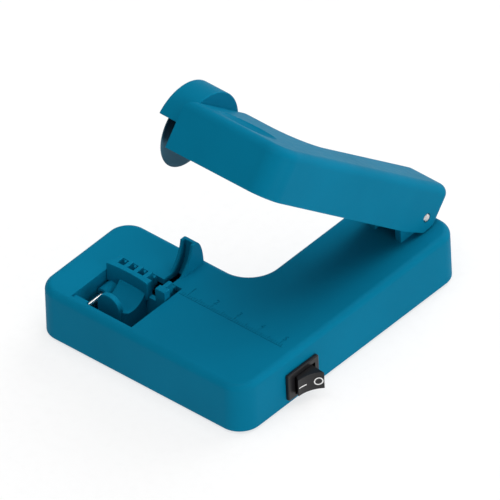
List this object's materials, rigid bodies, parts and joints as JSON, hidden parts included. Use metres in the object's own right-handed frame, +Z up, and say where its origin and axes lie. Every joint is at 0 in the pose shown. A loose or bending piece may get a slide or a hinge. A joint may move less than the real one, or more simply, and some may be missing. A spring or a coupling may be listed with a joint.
{
  "type": "bench edge creaser",
  "caption": "Small bench creaser: L-shaped base with a sliding comb clamp and a length scale, and a sprung drop arm that carries a motor-driven wheel under a round guard.",
  "frame": {"origin": "on the surface that the feet stand on, under the middle of the whole object's bounding box with the arm raised", "axes": "+X along the front edge towards the switch, +Y from the front to the hinge at the back, +Z up"},
  "size_m": [0.0972, 0.1136, 0.0953],
  "materials": {
    "teal_plastic": "fine matt moulded plastic",
    "black_plastic": "satin",
    "lead_insulation": "smooth insulation",
    "cell_wrap": "shrink film",
    "brass": "bright",
    "steel": "bright turned",
    "dark_steel": "oiled",
    "wheel_steel": "dark polished",
    "rubber": "matt"
  },
  "bodies": {
    "base": {"base_shell": "teal_plastic", "bottom_cover": "teal_plastic", "switch_housing": "black_plastic", "battery_tray": "black_plastic", "battery_lead": "black_plastic", "motor_lead_base": "lead_insulation", "battery_cell_1": "cell_wrap", "battery_cell_2": "cell_wrap", "battery_contact_front": "brass", "battery_contact_rear": "brass", "switch_terminal_1": "brass", "switch_terminal_2": "brass", "hinge_bush_left": "brass", "hinge_bush_right": "brass", "hinge_pin": "steel", "guide_rod": "steel", "return_spring": "dark_steel", "clamp_spring": "dark_steel", "cover_screw_1": "steel", "cover_screw_2": "steel", "cover_screw_3": "steel", "cover_screw_4": "steel", "cover_screw_5": "steel", "foot_1": "rubber", "foot_2": "rubber", "foot_3": "rubber", "foot_4": "rubber"},
    "arm": {"arm_shell": "teal_plastic", "arm_cover": "teal_plastic", "arm_screw_1": "steel", "arm_screw_2": "steel", "arm_screw_3": "steel", "arm_screw_4": "steel", "motor_can": "steel", "motor_end_cap": "black_plastic", "motor_bracket": "dark_steel", "motor_screw_1": "steel", "motor_screw_2": "steel", "motor_lead_arm": "lead_insulation"},
    "wheel": {"wheel": "wheel_steel", "wheel_arbor": "steel", "wheel_nut": "steel", "motor_shaft": "steel"},
    "clamp": {"clamp_jaw": "teal_plastic"},
    "rocker": {"switch_rocker": "black_plastic"}
  },
  "joints": [
    {"name": "arm_hinge", "type": "hinge", "parent": "base", "child": "arm", "pos_m": [0.0247, 0.0448, 0.02575], "axis": [1, 0, 0], "range_deg": [0, 35.5], "stiffness_Nm_per_rad": 0.03, "springref_deg": -68.75, "deforming": ["return_spring"]},
    {"name": "wheel_spin", "type": "hinge", "parent": "arm", "child": "wheel", "pos_m": [-0.0147, -0.01555, 0.07766], "axis": [1, 0, 0], "continuous": true},
    {"name": "clamp_slide", "type": "slide", "parent": "base", "child": "clamp", "axis": [0, -1, 0], "range_m": [0, 0.0045], "stiffness_N_per_m": 300, "springref_m": -0.005, "deforming": ["clamp_spring"]},
    {"name": "rocker_tilt", "type": "hinge", "parent": "base", "child": "rocker", "pos_m": [0.0426, -0.0274, 0.0083], "axis": [0, 0, 1], "range_deg": [0, 38]}
  ]
}
